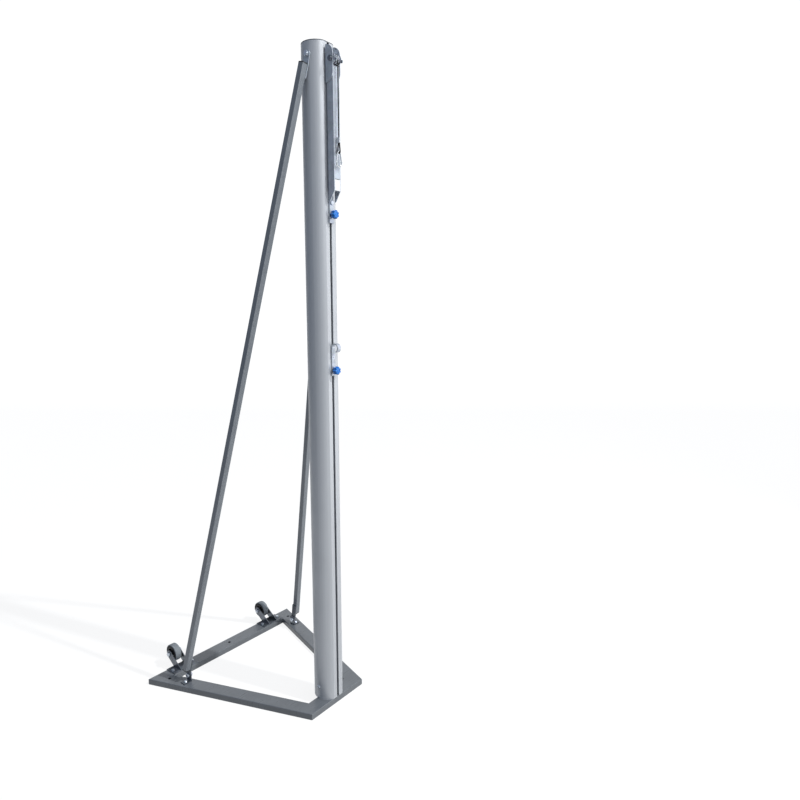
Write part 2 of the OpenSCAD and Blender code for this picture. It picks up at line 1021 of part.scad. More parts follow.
module head_screw() {
    color(ZINC)
        translate([head_front, 0, head_screw_z])
            rotate([0, 90, 0])
                flush_screw(stud_d, head_front - rail_back_x - 2 * fit);
}

module side_bore(x, z, d) {
    translate([x, 0, z])
        rotate([90, 0, 0])
            cylinder(d = d, h = 4 * lever_w, center = true);
}

// A shape given as [x, z], made solid between two distances on both sides of the middle
module side_plates(inner_y, outer_y) {
    mirror_copy()
        translate([0, outer_y, 0])
            rotate([90, 0, 0])
                linear_extrude(outer_y - inner_y)
                    children();
}

module cheek_outline() {
    high_z = pivot_z + cheek_up - cheek_depth;
    low_z = pivot_z - cheek_down + cheek_depth;
    translate([bar_front, low_z])
        square([cheek_depth, high_z - low_z]);
    intersection() {
        union() {
            translate([bar_front, high_z])
                circle(cheek_depth, $fn = 96);
            translate([bar_front, low_z])
                circle(cheek_depth, $fn = 96);
        }
        translate([bar_front, pivot_z - cheek_down])
            square([cheek_depth + 1, cheek_up + cheek_down]);
    }
}

module head_bracket() {
    color(ZINC)
        difference() {
            union() {
                side_plates(cheek_in, cheek_out)
                    cheek_outline();
                translate([bar_front, -cheek_out, pivot_z - cheek_down])
                    cube([head_t, 2 * cheek_out, tension_top - pivot_z + cheek_down]);
            }
            side_bore(pivot_x, pivot_z, pivot_d + run_gap);
            rail_bore(head_screw_z, stud_d + hole_gap);
            flush_seat(head_front, head_screw_z);
        }
}

module pivot_bolt() {
    color(ZINC)
        translate([pivot_x, -cheek_out, pivot_z])
            rotate([90, 0, 0])
                hex_bolt(pivot_d, 2 * cheek_out + pivot_d);
}

module pivot_nut() {
    color(ZINC)
        translate([pivot_x, cheek_out, pivot_z])
            rotate([-90, 0, 0])
                hex_nut(pivot_d);
}

module pulley_spacers() {
    near = pulley_w / 2 + fit;
    color(ZINC)
        side_plates(near, lever_in - fit)
            translate([pivot_x, pivot_z])
                difference() {
                    circle(d = pivot_d + 6);
                    circle(d = pivot_d + run_gap);
                }
}

module tension_stud() {
    color(BLACK)
        knob_stud(bar_front, tension_knob_z);
}

module tension_knob() {
    star_knob(bar_front, tension_knob_z);
}

// Lever: a channel that closes over the bar, with ears for the keeper pin beside the pulley
function keeper_place() = [pivot_x + keeper_out, pivot_z - keeper_drop];

module lever_outline() {
    translate([pivot_x, pivot_z])
        circle(lever_top_r, $fn = 96);
    translate(keeper_place())
        circle(keeper_d / 2 + keeper_ear);
    polygon([[lever_back, pivot_z], [lever_back, tail_z], [lever_back + 5, tail_z],
        [lever_front, grip_bottom], [lever_front, pivot_z]]);
}

module lever() {
    color(ZINC)
        difference() {
            union() {
                side_plates(lever_in, lever_w / 2)
                    lever_outline();
                translate([lever_front - lever_wall, -lever_w / 2, face_bottom])
                    cube([lever_wall, lever_w, face_top - face_bottom]);
            }
            side_bore(pivot_x, pivot_z, pivot_d + run_gap);
            side_bore(keeper_place().x, keeper_place().y, keeper_d + run_gap);
        }
}

module lever_grip() {
    color("white")
        translate([lever_front - grip_depth, -lever_in, grip_bottom])
            cube([grip_depth, 2 * lever_in, grip_l]);
}

module keeper_pin() {
    color(ZINC)
        translate([keeper_place().x, 0, keeper_place().y])
            rotate([90, 0, 0])
                cylinder(d = keeper_d, h = lever_w, center = true);
}

module cable_anchor() {
    back_x = pivot_x - wrap_r;
    color(ZINC)
        difference() {
            translate([lever_back + fit, -lever_in, anchor_z])
                cube([anchor_depth, 2 * lever_in, anchor_h]);
            translate([back_x, 0, anchor_z - 1])
                cylinder(d = cable_d + run_gap, h = anchor_h + 2);
        }
}

module cable_run() {
    back_x = pivot_x - wrap_r;
    color(BLACK) {
        translate([pivot_x, 0, pivot_z])
            rotate([90, 0, 0])
                rotate_extrude(angle = 180)
                    translate([wrap_r, 0])
                        circle(d = cable_d);
        translate([back_x, 0, anchor_z - 8])
            cylinder(d = cable_d, h = anchor_down + 8);
    }
    color(ZINC)
        translate([back_x, 0, anchor_z - stop_l])
            cylinder(d = cable_d + 1.2, h = stop_l);
}

module pulley() {
    half = pulley_w / 2;
    bore_r = (pivot_d + run_gap) / 2;
    color(ZINC)
        translate([pivot_x, 0, pivot_z])
            rotate([90, 0, 0])
                rotate_extrude()
                    difference() {
                        translate([bore_r, -half])
                            square([flange_r - bore_r, pulley_w]);
                        translate([wrap_r, 0])
                            circle(cable_d / 2 + 0.2);
                        translate([wrap_r, -cable_d / 2 - 0.2])
                            square([flange_r, cable_d + 0.4]);
                    }
}

// The free cable: a round tube swept along its points
function lerp(a, b, t) = a + (b - a) * t;
function cable_stations() = [
    for (i = [0:len(cable_points) - 2])
        let (a = cable_points[i], b = cable_points[i + 1], n = ceil(norm(b - a) / cable_step))
        for (k = [0:n - 1]) lerp(a, b, k / n),
    cable_points[len(cable_points) - 1]];

module cable() {
    stations = cable_stations();
    n = len(stations);
    ring = [for (s = [0:cable_sides - 1])
        cable_d / 2 * [cos(360 * s / cable_sides), sin(360 * s / cable_sides), 0]];
    points = [for (p = stations, r = ring) p + r];
    sides = [for (i = [0:n - 2], s = [0:cable_sides - 1])
        let (t = (s + 1) % cable_sides, a = i * cable_sides, b = a + cable_sides)
        [a + s, a + t, b + t, b + s]];
    top = [[for (s = [0:cable_sides - 1]) cable_sides - 1 - s]];
    bottom = [[for (s = [0:cable_sides - 1]) (n - 1) * cable_sides + s]];
    color(BLACK)
        translate([cable_x, 0, pivot_z])
            polyhedron(points = points, faces = concat(top, sides, bottom));
}

module ferrule() {
    color(ZINC)
        difference() {
            translate([cable_x, 0, cable_end_z - ferrule_l])
                linear_extrude(ferrule_l) {
                    for (way = [-1, 1])
                        translate([way * leg_out, 0])
                            circle(d = ferrule_d);
                    square([2 * leg_out, ferrule_d], center = true);
                }
            for (way = [-1, 1])
                translate([cable_x + way * leg_out, 0, cable_end_z - ferrule_l])
                    cylinder(d = cable_d + bead + run_gap, h = 2 * leg_seat, center = true);
        }
}

// A round wire between two points of the plane x = 0, given as [y, z], with a bead at each end
module wire(from, to, d) {
    run = to - from;
    translate([0, from.x, from.y])
        rotate([-atan2(run.x, run.y), 0, 0])
            cylinder(d = d, h = norm(run));
    for (p = [from, to])
        translate([0, p.x, p.y])
            sphere(d = d + bead);
}

// An arc of wire in the plane x = 0, from one angle to another, counted from +y towards +z
module wire_arc(centre_z, r, from, to, d) {
    translate([0, 0, centre_z])
        rotate([90, 0, 90])
            rotate([0, 0, from])
                rotate_extrude(angle = to - from)
                    translate([r, 0])
                        circle(d = d);
}

module cable_eye() {
    color(BLACK)
        translate([cable_x, 0, 0])
            rotate([0, 0, 90]) {
                wire_arc(eye_arc_z, eye_r, 180, 360, cable_d);
                for (way = [-1, 1])
                    wire([way * leg_out, eye_start_z], [way * eye_r, eye_arc_z], cable_d);
            }
}

// Carabiner: a pear of wire whose +y side is the gate
module carabiner_frame() {
    translate([cable_x, 0, eye_low_z])
        children();
}

function top_tangent(way) =
    [way * carabiner_top_r * cos(side_turn), top_z + carabiner_top_r * sin(side_turn)];
function low_tangent(way) = [way * low_r * cos(side_turn), low_z + low_r * sin(side_turn)];
function nose_tip() = top_tangent(1) + (nose_l - wire_d / 2) * [sin(side_turn), -cos(side_turn)];

module gate_frame() {
    place = low_tangent(1);
    translate([0, place.x, place.y])
        rotate([side_turn, 0, 0])
            children();
}

module carabiner() {
    color(ZINC)
        carabiner_frame()
            difference() {
                union() {
                    wire_arc(top_z, carabiner_top_r, side_turn, 180 - side_turn, wire_d);
                    wire_arc(low_z, low_r, 180 - side_turn, 360 + side_turn, wire_d);
                    wire(top_tangent(-1), low_tangent(-1), wire_d);
                    wire(top_tangent(1), nose_tip(), wire_d);
                    gate_frame()
                        translate([0, 0, hinge_up])
                            rotate([0, 90, 0])
                                cylinder(d = wire_d + 0.6, h = wire_d, center = true);
                }
                gate_frame() {
                    translate([-gate_t / 2 - fit, -wire_d, -1.2])
                        cube([gate_t + 2 * fit, 2 * wire_d, 2 * wire_d]);
                    translate([0, 0, hinge_up])
                        rotate([0, 90, 0])
                            cylinder(d = gate_pin_d + run_gap, h = 2 * wire_d, center = true);
                }
            }
}

module carabiner_gate() {
    color(ZINC)
        carabiner_frame()
            gate_frame()
                difference() {
                    union() {
                        translate([0, 0, blade_l])
                            cylinder(d = wire_d - 0.6, h = gate_l - blade_l);
                        translate([-gate_t / 2, -wire_d / 2 + 0.6, hinge_up])
                            cube([gate_t, wire_d - 1.2, blade_l]);
                        translate([0, 0, hinge_up])
                            rotate([0, 90, 0])
                                cylinder(d = wire_d - 1.2, h = gate_t, center = true);
                    }
                    translate([0, 0, hinge_up])
                        rotate([0, 90, 0])
                            cylinder(d = gate_pin_d + run_gap, h = 2 * wire_d, center = true);
                }
}

module gate_pin() {
    color(ZINC)
        carabiner_frame()
            gate_frame()
                translate([0, 0, hinge_up])
                    rotate([0, 90, 0])
                        cylinder(d = gate_pin_d, h = wire_d + 0.4, center = true);
}

nose_bar();
left_arm();
right_arm();
rear_bar();
foot_spigot();
column();
column_screws();
top_cap();
left_strut();
right_strut();
left_upper_ear();
right_upper_ear();
left_lower_ear();
right_lower_ear();
strut_caps();
brace_bolt();
brace_nut();
brace_washers();
left_foot_bracket();
right_foot_bracket();
foot_bolts();
foot_nuts();
bracket_screws();
left_caster_bracket();
right_caster_bracket();
caster_bolts();
wheel_axles();
axle_nuts();
left_wheel_hub();
left_tyre();
right_wheel_hub();
right_tyre();
hook_plate();
hook_slide_nut();
hook_screw();
hook_stud();
hook_knob();
tension_bar();
tension_slide_nuts();
tension_bolt();
head_screw();
head_bracket();
pivot_bolt();
pivot_nut();
pulley_spacers();
tension_stud();
tension_knob();
lever();
lever_grip();
keeper_pin();
cable_anchor();
cable_run();
pulley();
cable();
ferrule();
cable_eye();
carabiner();
carabiner_gate();
gate_pin();
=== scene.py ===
"""Volleyball net post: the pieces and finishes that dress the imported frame, and a plain studio."""

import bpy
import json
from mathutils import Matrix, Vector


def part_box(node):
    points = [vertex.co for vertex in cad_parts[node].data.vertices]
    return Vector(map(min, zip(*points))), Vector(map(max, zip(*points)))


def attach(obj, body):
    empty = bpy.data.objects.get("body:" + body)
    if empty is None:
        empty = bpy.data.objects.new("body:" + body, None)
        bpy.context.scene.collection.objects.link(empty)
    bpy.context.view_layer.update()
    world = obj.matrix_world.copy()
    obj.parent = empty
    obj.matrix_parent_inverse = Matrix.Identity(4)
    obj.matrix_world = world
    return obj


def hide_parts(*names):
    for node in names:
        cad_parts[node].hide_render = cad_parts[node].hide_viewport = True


bl_info = {
    "name": "Volleyball Net Post",
    "version": (1, 0, 0),
    "blender": (4, 5, 0),
    "location": "3D View > Sidebar > Net Post",
    "description": "Dresses a free-standing volleyball net post with its finishes and fine parts",
    "category": "Object",
}

import json
import math

import bmesh
import bpy
import numpy as np
from bpy.props import FloatProperty, FloatVectorProperty, IntProperty, PointerProperty
from mathutils import Vector

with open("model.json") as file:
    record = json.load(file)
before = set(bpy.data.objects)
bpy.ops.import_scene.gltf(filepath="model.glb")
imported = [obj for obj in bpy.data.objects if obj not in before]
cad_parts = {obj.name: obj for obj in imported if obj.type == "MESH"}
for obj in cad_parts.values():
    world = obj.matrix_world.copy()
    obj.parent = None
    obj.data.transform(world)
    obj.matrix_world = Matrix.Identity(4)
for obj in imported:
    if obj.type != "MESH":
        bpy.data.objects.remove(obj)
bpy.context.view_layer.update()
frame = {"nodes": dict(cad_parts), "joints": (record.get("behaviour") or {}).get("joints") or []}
NODES = frame["nodes"]
JOINTS = {joint["name"]: joint for joint in frame["joints"]}

MM = 0.001
# Where the cable leaves the pulley, its route from there into the sleeve, and its length
CABLE_EXIT = (0.0993015, 0.0, 2.484)
CABLE_STEPS = ((0.0, 0.0, 0.0), (0.0, 0.0, -0.09), (0.0, 0.0, -0.18), (0.0, 0.0, -0.264))
# Treads: their round shoulders, two fine grooves, the hub's seat, and how far out from the
# axle the side walls are black
SHOULDER_R = 3.0 * MM
GROOVES_AT = (-6 * MM, 6 * MM)
GROOVE_HALF_W = 0.7 * MM
GROOVE_DEPTH = 0.5 * MM
SEAT_R = 26.1 * MM
BLACK_WALL_R = 34 * MM
# Points of a tread: round the axle, over each shoulder, over the crown and down each wall
TREAD_STEPS, SHOULDER_STEPS, CROWN_STEPS, WALL_STEPS = 96, 7, 33, 4
# Star knobs: the bore, the share of the radius that a dip takes, the power that keeps the
# points broad, and the steps from one point to the next
KNOB_BORE_R = 4.2 * MM
KNOB_DIP, KNOB_POWER = 0.27, 1.7
POINT_STEPS = 24
# The camera's place, its way over the floor, the way to its right, and its tilt below level
CAMERA_AT = (1.70601, -1.77671, 1.63220)
AHEAD = (-0.60012, 0.79991)
RIGHT = (0.79991, 0.60012)
TILT = math.radians(8.64)
# Its focal length and its frame in pixels, and its sensor's width in millimetres
FOCAL_PIXELS, FRAME_PIXELS, SENSOR_W = 634.4, 800, 36.0
# The paper roll in metres: where it starts before the post, where its curve starts behind
# it, the curve's radius, its height, and half its width. Then the points of the curve
PAPER_FROM, PAPER_CURVE, PAPER_R, PAPER_TOP, PAPER_SIDE = -8.0, 7.0, 2.0, 14.0, 12.0
CURVE_STEPS = 17
# The paper's greys where it is seen and where it only gives light back, and its own light on
# the floor and from 1 m up
GREY_SEEN, GREY_BACK = 0.16, 0.14
GLOW_LOW, GLOW_HIGH = 0.87, 0.97
# That light fades, as painted shade, to the left of the view and towards the camera: from where and
# to where in metres, what is left of it there, and how much the way towards the camera counts
FADE_FROM, FADE_TO, FADE_LEFT, FADE_LEAN = 1.6, 5.0, 0.4, 0.7


def linear(code):
    """The sRGB hex colour as linear light: each channel over 255, then its gamma undone."""
    parts = [int(code[i:i + 2], 16) / 255 for i in (1, 3, 5)]
    return [p / 12.92 if p <= 0.04045 else ((p + 0.055) / 1.055) ** 2.4 for p in parts]


def colour(name, description, code):
    """A colour setting, whose default is an sRGB hex colour."""
    return FloatVectorProperty(name=name, description=description, subtype="COLOR", size=3,
                               min=0.0, max=1.0, default=linear(code))


def length(name, description, default):
    """A length setting, with its default in metres."""
    return FloatProperty(name=name, description=description, unit="LENGTH", precision=4,
                         min=0.0, default=default)


class NetPostSizes(bpy.types.PropertyGroup):
    """Sizes of the pieces that are made here"""

    cable_d: length("Cable diameter", "Thickness of the coated cable", 5 * MM)
    tread_d: length("Tread diameter", "Diameter of the wheels' grey treads", 76 * MM)
    tread_w: length("Tread width", "Width of the wheels' treads", 28 * MM)
    tread_crown: length("Tread crown", "How far the tread drops from its middle to its sides",
                        1.2 * MM)
    knob_d: length("Knob diameter", "Diameter over the points of the star knobs", 32 * MM)
    knob_t: length("Knob thickness", "Thickness of the star knobs", 18 * MM)
    knob_points: IntProperty(name="Knob points", description="Points on each star knob",
                             min=5, max=9, default=7)
    edge: length("Edge radius", "Rounding of the cut edges of plates and channels", 0.6 * MM)


class NetPostColours(bpy.types.PropertyGroup):
    """Colours of the finishes"""

    paint: colour("Powder coat", "Silver-grey powder coat of the base", "#676b6f")
    tube: colour("Strut powder coat", "Paler powder coat of the struts", "#7e8388")
    anodised: colour("Anodised aluminium", "Satin column", "#b8bbbe")
    zinc: colour("Zinc plate", "Plated plates, channels and bolts", "#b3b9c1")
    # A darker copy of the zinc plate, which is painted shade and painted dark reflection on the
    # forks, foot brackets, lower ears, pivot bolt, pivot nut and keeper pin, not a duller plate
    painted_shade_zinc: colour("Dull zinc plate", "Forks and pins that have gone dull", "#6b7077")
    steel: colour("Polished steel", "Snap hook", "#c3c6c9")
    sleeve: colour("Crimped aluminium", "Sleeve on the cable's end", "#c4c7ca")
    black: colour("Black plastic", "Caps, collars and wheel hubs", "#1c1d1f")
    cap: colour("Grey plastic", "Cap on the column", "#4a4e53")
    tread: colour("Grey rubber", "Treads of the wheels", "#7f8589")
    knob: colour("Blue plastic", "Star knobs", "#0271c8")
    grip: colour("Light plastic", "Grip block in the lever's end", "#dcdddd")
    coat: colour("Cable coat", "Black coat of the cable", "#0e0f11")


def sizes():
    """The sizes from the panel."""
    return bpy.context.scene.net_post_sizes


def shade(name):
    """The named colour from the panel, with an alpha of one."""
    return (*getattr(bpy.context.scene.net_post_colours, name), 1.0)


def add(tree, kind, settings=None, links=None):
    """Adds one node, sets its properties and sockets, and links its inputs. A link may name a
    socket, or a node whose first output is meant."""
    made = tree.nodes.new(kind)
    for key, value in (settings or {}).items():
        if isinstance(key, int) or key in made.inputs:
            made.inputs[key].default_value = value
        else:
            setattr(made, key, value)
    for key, source in (links or {}).items():
        socket = source.outputs[0] if isinstance(source, bpy.types.Node) else source
        tree.links.new(socket, made.inputs[key])
    return made


def tinted(rgba, factor):
    """The colour made lighter or darker by a factor."""
    return (*(min(1.0, c * factor) for c in rgba[:3]), 1.0)


def per(mm):
    """The texture scale of a pattern that is so many millimetres wide."""
    return 1 / (mm * MM)


# The nodes that the finishes use most. A mix of colours has its share in socket 0, the
# colours in 6 and 7, and its result in output 2
NOISE, CELLS, WAVES = "ShaderNodeTexNoise", "ShaderNodeTexVoronoi", "ShaderNodeTexWave"
RANGE, MIX, STRETCH = "ShaderNodeMapRange", "ShaderNodeMix", "ShaderNodeMapping"
BUMP, MATH = "ShaderNodeBump", "ShaderNodeMath"


def new_finish(name, metallic, ior=None):
    """A material with a Principled shader, and its Object coordinates in metres."""
    material = bpy.data.materials.new(name)
    material.use_nodes = True
    tree = material.node_tree
    tree.nodes.clear()
    shader = add(tree, "ShaderNodeBsdfPrincipled", {"Metallic": metallic})
    if ior:
        shader.inputs["IOR"].default_value = ior
    add(tree, "ShaderNodeOutputMaterial", links={"Surface": shader})
    return material, tree, shader, add(tree, "ShaderNodeTexCoord").outputs["Object"]


def wear(tree, shader, tone, rough, height):
    """Links a colour, a roughness and a bump to the shader."""
    tree.links.new(tone, shader.inputs["Base Color"])
    tree.links.new(rough.outputs[0], shader.inputs["Roughness"])
    tree.links.new(height.outputs[0], shader.inputs["Normal"])


def powder_coat(name, key):
    """Polyester powder coat, sprayed and baked: an even silver-grey with the fine orange peel
    of powder that melted together, aluminium flake with a painted glint of paler specks, and scuffs
    along the tubes."""
    made, tree, shader, place = new_finish(name, metallic=0.08, ior=1.5)
    base = shade(key)
    # Clouds of 60 mm, where the coat is thicker or thinner
    cloud = add(tree, NOISE, {"Scale": per(60), "Detail": 4.0}, {"Vector": place})
    part = add(tree, RANGE, {"From Min": 0.3, "From Max": 0.7}, {"Value": cloud})
    tone = add(tree, MIX, {"data_type": "RGBA", 6: tinted(base, 0.93), 7: tinted(base, 1.07)},
               {0: part}).outputs[2]
    # Flake of 0.8 mm: really 0.05 mm, and as coarse as the render can show. Its paler colour is a
    # painted glint
    flake = add(tree, CELLS, {"Scale": per(0.8)}, {"Vector": place})
    part = add(tree, RANGE, {"From Min": 0.75, "From Max": 1.0, "To Max": 0.35},
               {"Value": flake.outputs["Color"]})
    tone = add(tree, MIX, {"data_type": "RGBA", 7: tinted(base, 1.5)},
               {0: part, 6: tone}).outputs[2]
    # Scuffs: streaks 4 mm across and 100 mm long
    long = add(tree, STRETCH, {"Scale": (per(4), per(100), per(100))}, {"Vector": place})
    scuff = add(tree, NOISE, {"Scale": 1.0, "Detail": 3.0}, {"Vector": long})
    part = add(tree, RANGE, {"From Min": 0.6, "From Max": 0.72, "To Max": 0.4}, {"Value": scuff})
    tone = add(tree, MIX, {"data_type": "RGBA", 7: tinted(base, 0.78)},
               {0: part, 6: tone}).outputs[2]
    rough = add(tree, RANGE, {"From Min": 0.3, "From Max": 0.75, "To Min": 0.26, "To Max": 0.4},
                {"Value": scuff})
    # Orange peel: dimples 1.5 mm across
    peel = add(tree, NOISE, {"Scale": per(1.5), "Detail": 1.0}, {"Vector": place})
    wear(tree, shader, tone, rough,
         add(tree, BUMP, {"Strength": 0.25, "Distance": 0.05 * MM}, {"Height": peel}))
    return made


def anodised_aluminium():
    """Extruded and anodised aluminium: a satin skin with faint die lines over its whole height
    that draw the highlight out into a long upright band."""
    made, tree, shader, place = new_finish("satin_anodised_aluminium", metallic=0.26)
    base = shade("anodised")
    # Die lines: about 1.2 mm apart round the column and a metre long
    long = add(tree, STRETCH, {"Scale": (830.0, 830.0, 1.0)}, {"Vector": place})
    lines = add(tree, NOISE, {"Scale": 1.0, "Detail": 4.0, "Roughness": 0.6}, {"Vector": long})
    part = add(tree, RANGE, {"From Min": 0.35, "From Max": 0.65}, {"Value": lines})
    tone = add(tree, MIX, {"data_type": "RGBA", 6: tinted(base, 0.95), 7: tinted(base, 1.05)},
               {0: part}).outputs[2]
    # Clouds of 180 mm, where hands have dulled it
    cloud = add(tree, NOISE, {"Scale": per(180), "Detail": 3.0}, {"Vector": place})
    part = add(tree, RANGE, {"From Min": 0.55, "From Max": 0.8, "To Max": 0.5}, {"Value": cloud})
    tone = add(tree, MIX, {"data_type": "RGBA", 7: tinted(base, 0.88)},
               {0: part, 6: tone}).outputs[2]
    rough = add(tree, RANGE, {"From Min": 0.3, "From Max": 0.7, "To Min": 0.38, "To Max": 0.46},
                {"Value": cloud})
    wear(tree, shader, tone, rough,
         add(tree, BUMP, {"Strength": 0.15, "Distance": 0.03 * MM}, {"Height": lines}))
    return made


def zinc_plate(name="bright_zinc_plate", rough=0.46, level=1.0, key="zinc"):
    """Zinc plated and passivated steel: a cool bluish metal with soft cloudy patches from the
    bath and fine rolling marks, duller where it has been handled."""
    made, tree, shader, place = new_finish(name, metallic=0.85)
    base = tinted(shade(key), level)
    # Clouds from the bath: patches of 25 mm
    cloud = add(tree, NOISE, {"Scale": per(25), "Detail": 5.0, "Roughness": 0.65},
                {"Vector": place})
    part = add(tree, RANGE, {"From Min": 0.35, "From Max": 0.65}, {"Value": cloud})
    tone = add(tree, MIX, {"data_type": "RGBA", 6: tinted(base, 0.86), 7: tinted(base, 1.1)},
               {0: part}).outputs[2]
    # Crystals of 1 mm
    grain = add(tree, CELLS, {"Scale": per(1)}, {"Vector": place})
    tone = add(tree, MIX, {"data_type": "RGBA", "blend_type": "SOFT_LIGHT", 0: 0.25},
               {6: tone, 7: grain.outputs["Color"]}).outputs[2]
    dull = add(tree, RANGE, {"From Min": 0.3, "From Max": 0.7, "To Min": rough + 0.12,
                             "To Max": rough - 0.06}, {"Value": cloud})
    # Rolling marks: 0.8 mm apart and 40 mm long
    long = add(tree, STRETCH, {"Scale": (per(0.8), per(0.8), per(40))}, {"Vector": place})
    marks = add(tree, NOISE, {"Scale": 1.0, "Detail": 2.0}, {"Vector": long})
    wear(tree, shader, tone, dull,
         add(tree, BUMP, {"Strength": 0.2, "Distance": 0.04 * MM}, {"Height": marks}))
    return made


def soft_metal(name, key, metallic, grain_mm, rough, dent_mm):
    """Polished wire or pressed aluminium: bright, with fine scratches or small dents that break
    up the highlight."""
    made, tree, shader, place = new_finish(name, metallic)
    base = shade(key)
    grain = add(tree, NOISE, {"Scale": per(grain_mm), "Detail": 3.0}, {"Vector": place})
    tone = add(tree, MIX, {"data_type": "RGBA", 6: tinted(base, 0.8), 7: tinted(base, 1.08)},
               {0: grain}).outputs[2]
    dull = add(tree, RANGE, {"From Min": 0.3, "From Max": 0.7, "To Min": rough - 0.07,
                             "To Max": rough + 0.09}, {"Value": grain})
    wear(tree, shader, tone, dull,
         add(tree, BUMP, {"Strength": 0.3, "Distance": dent_mm * MM}, {"Height": grain}))
    return made


def moulded_plastic(name, key, rough, grain_mm, fade=0.03):
    """Injection moulded plastic: an even colour with the fine sparked grain of the mould, and
    slightly paler where it is worn."""
    made, tree, shader, place = new_finish(name, metallic=0.0, ior=1.49)
    base = shade(key)
    # Worn patches of 9 mm
    worn = add(tree, NOISE, {"Scale": per(9), "Detail": 4.0}, {"Vector": place})
    part = add(tree, RANGE, {"From Min": 0.45, "From Max": 0.75}, {"Value": worn})
    pale = (*(c + (1 - c) * fade for c in base[:3]), 1.0)
    tone = add(tree, MIX, {"data_type": "RGBA", 6: base, 7: pale}, {0: part}).outputs[2]
    dull = add(tree, RANGE, {"From Min": 0.3, "From Max": 0.7, "To Min": rough - 0.05,
                             "To Max": rough + 0.07}, {"Value": worn})
    grain = add(tree, NOISE, {"Scale": per(grain_mm), "Detail": 2.0}, {"Vector": place})
    wear(tree, shader, tone, dull,
         add(tree, BUMP, {"Strength": 0.25, "Distance": 0.05 * MM}, {"Height": grain}))
    return made


def grey_rubber():
    """Moulded rubber: a matt, dusty grey tread, mottled where it has rolled, and black on the
    side walls out to a radius."""
    made, tree, shader, place = new_finish("grey_rubber_tread", metallic=0.0, ior=1.52)
    base = shade("tread")
    axle = JOINTS["left_wheel_spin"]["pos_m"]
    # Dust in patches of 7 mm
    dust = add(tree, NOISE, {"Scale": per(7), "Detail": 5.0, "Roughness": 0.65},
               {"Vector": place})
    part = add(tree, RANGE, {"From Min": 0.3, "From Max": 0.7}, {"Value": dust})
    tone = add(tree, MIX, {"data_type": "RGBA", 6: tinted(base, 0.72), 7: tinted(base, 1.12)},
               {0: part}).outputs[2]
    # The black ends at its distance from the axles' common line, within 1 mm
    parts = add(tree, "ShaderNodeSeparateXYZ", links={"Vector": place})
    flat = add(tree, "ShaderNodeCombineXYZ", {"Y": axle[1]}, {"X": parts.outputs["X"],
                                                            "Z": parts.outputs["Z"]})
    away = add(tree, "ShaderNodeVectorMath", {"operation": "DISTANCE", 1: tuple(axle)},
               {0: flat})
    ring = add(tree, RANGE, {"From Min": BLACK_WALL_R - 0.5 * MM, "From Max": BLACK_WALL_R + 0.5 * MM},
               {"Value": away.outputs["Value"]})
    tone = add(tree, MIX, {"data_type": "RGBA", 6: shade("black")}, {0: ring, 7: tone}).outputs[2]
    dull = add(tree, RANGE, {"From Min": 0.3, "From Max": 0.7, "To Min": 0.62, "To Max": 0.82},
               {"Value": dust})
    wear(tree, shader, tone, dull,
         add(tree, BUMP, {"Strength": 0.35, "Distance": 0.15 * MM}, {"Height": dust}))
    return made


def coated_cable():
    """Wire rope in a black plastic coat: satin, with the rope's lay showing faintly as slanted
    ridges through the coat."""
    made, tree, shader, place = new_finish("black_coated_cable", metallic=0.0, ior=1.5)
    base = shade("coat")
    # Dust in patches of 4 mm
    dust = add(tree, NOISE, {"Scale": per(4), "Detail": 3.0}, {"Vector": place})
    part = add(tree, RANGE, {"From Min": 0.4, "From Max": 0.75}, {"Value": dust})
    tone = add(tree, MIX, {"data_type": "RGBA", 6: base, 7: tinted(base, 2.4)},
               {0: part}).outputs[2]
    dull = add(tree, RANGE, {"From Min": 0.3, "From Max": 0.7, "To Min": 0.52, "To Max": 0.66},
               {"Value": dust})
    # Lay: one slanted ridge every 6 mm. A wave repeats every 2 pi over 20 units of its scale
    lay = add(tree, WAVES, {"bands_direction": "DIAGONAL", "Scale": math.pi / 10 * per(6),
                            "Distortion": 0.4}, {"Vector": place})
    wear(tree, shader, tone, dull,
         add(tree, BUMP, {"Strength": 0.3, "Distance": 0.12 * MM}, {"Height": lay}))
    return made


FINISHES = {
    "powder_coat": lambda: powder_coat("silver_powder_coat", "paint"),
    "strut_coat": lambda: powder_coat("pale_powder_coat", "tube"),
    "anodised": anodised_aluminium,
    "zinc": zinc_plate,
    "zinc_bolts": lambda: zinc_plate("zinc_plated_bolts", rough=0.28, level=1.2),
    # The same zinc, darker: painted shade and painted dark reflection
    "painted_shade_zinc": lambda: zinc_plate("painted_shade_zinc_plate", rough=0.36, key="painted_shade_zinc"),
    "steel": lambda: soft_metal("polished_steel_wire", "steel", metallic=0.9, grain_mm=0.6,
                                rough=0.22, dent_mm=0.02),
    "sleeve": lambda: soft_metal("pressed_aluminium", "sleeve", metallic=0.8, grain_mm=1.2,
                                 rough=0.4, dent_mm=0.08),
    "black": lambda: moulded_plastic("black_polyamide", "black", rough=0.5, grain_mm=0.6),
    "hub": lambda: moulded_plastic("black_wheel_hub", "black", rough=0.55, grain_mm=0.6),
    "cap": lambda: moulded_plastic("grey_polyethylene", "cap", rough=0.45, grain_mm=0.8),
    "blue": lambda: moulded_plastic("blue_polyamide", "knob", rough=0.3, grain_mm=0.7,
                                    fade=0.04),
    "grip": lambda: moulded_plastic("light_polyamide", "grip", rough=0.38, grain_mm=0.7),
    "tread": grey_rubber,
    "cable": coated_cable,
}
made_finishes = {}


def finish(key, *pieces):
    """Gives the pieces a finish, which is made the first time that it is asked for."""
    if key not in made_finishes:
        made_finishes[key] = FINISHES[key]()
    for piece in pieces:
        piece.data.materials.clear()
        piece.data.materials.append(made_finishes[key])


def finish_nodes(key, *names):
    """Gives the named nodes a finish."""
    finish(key, *(NODES[name] for name in names))


def new_object(name, data):
    """An object at the origin, in the scene's own collection."""
    made = bpy.data.objects.new(name, data)
    bpy.context.scene.collection.objects.link(made)
    return made


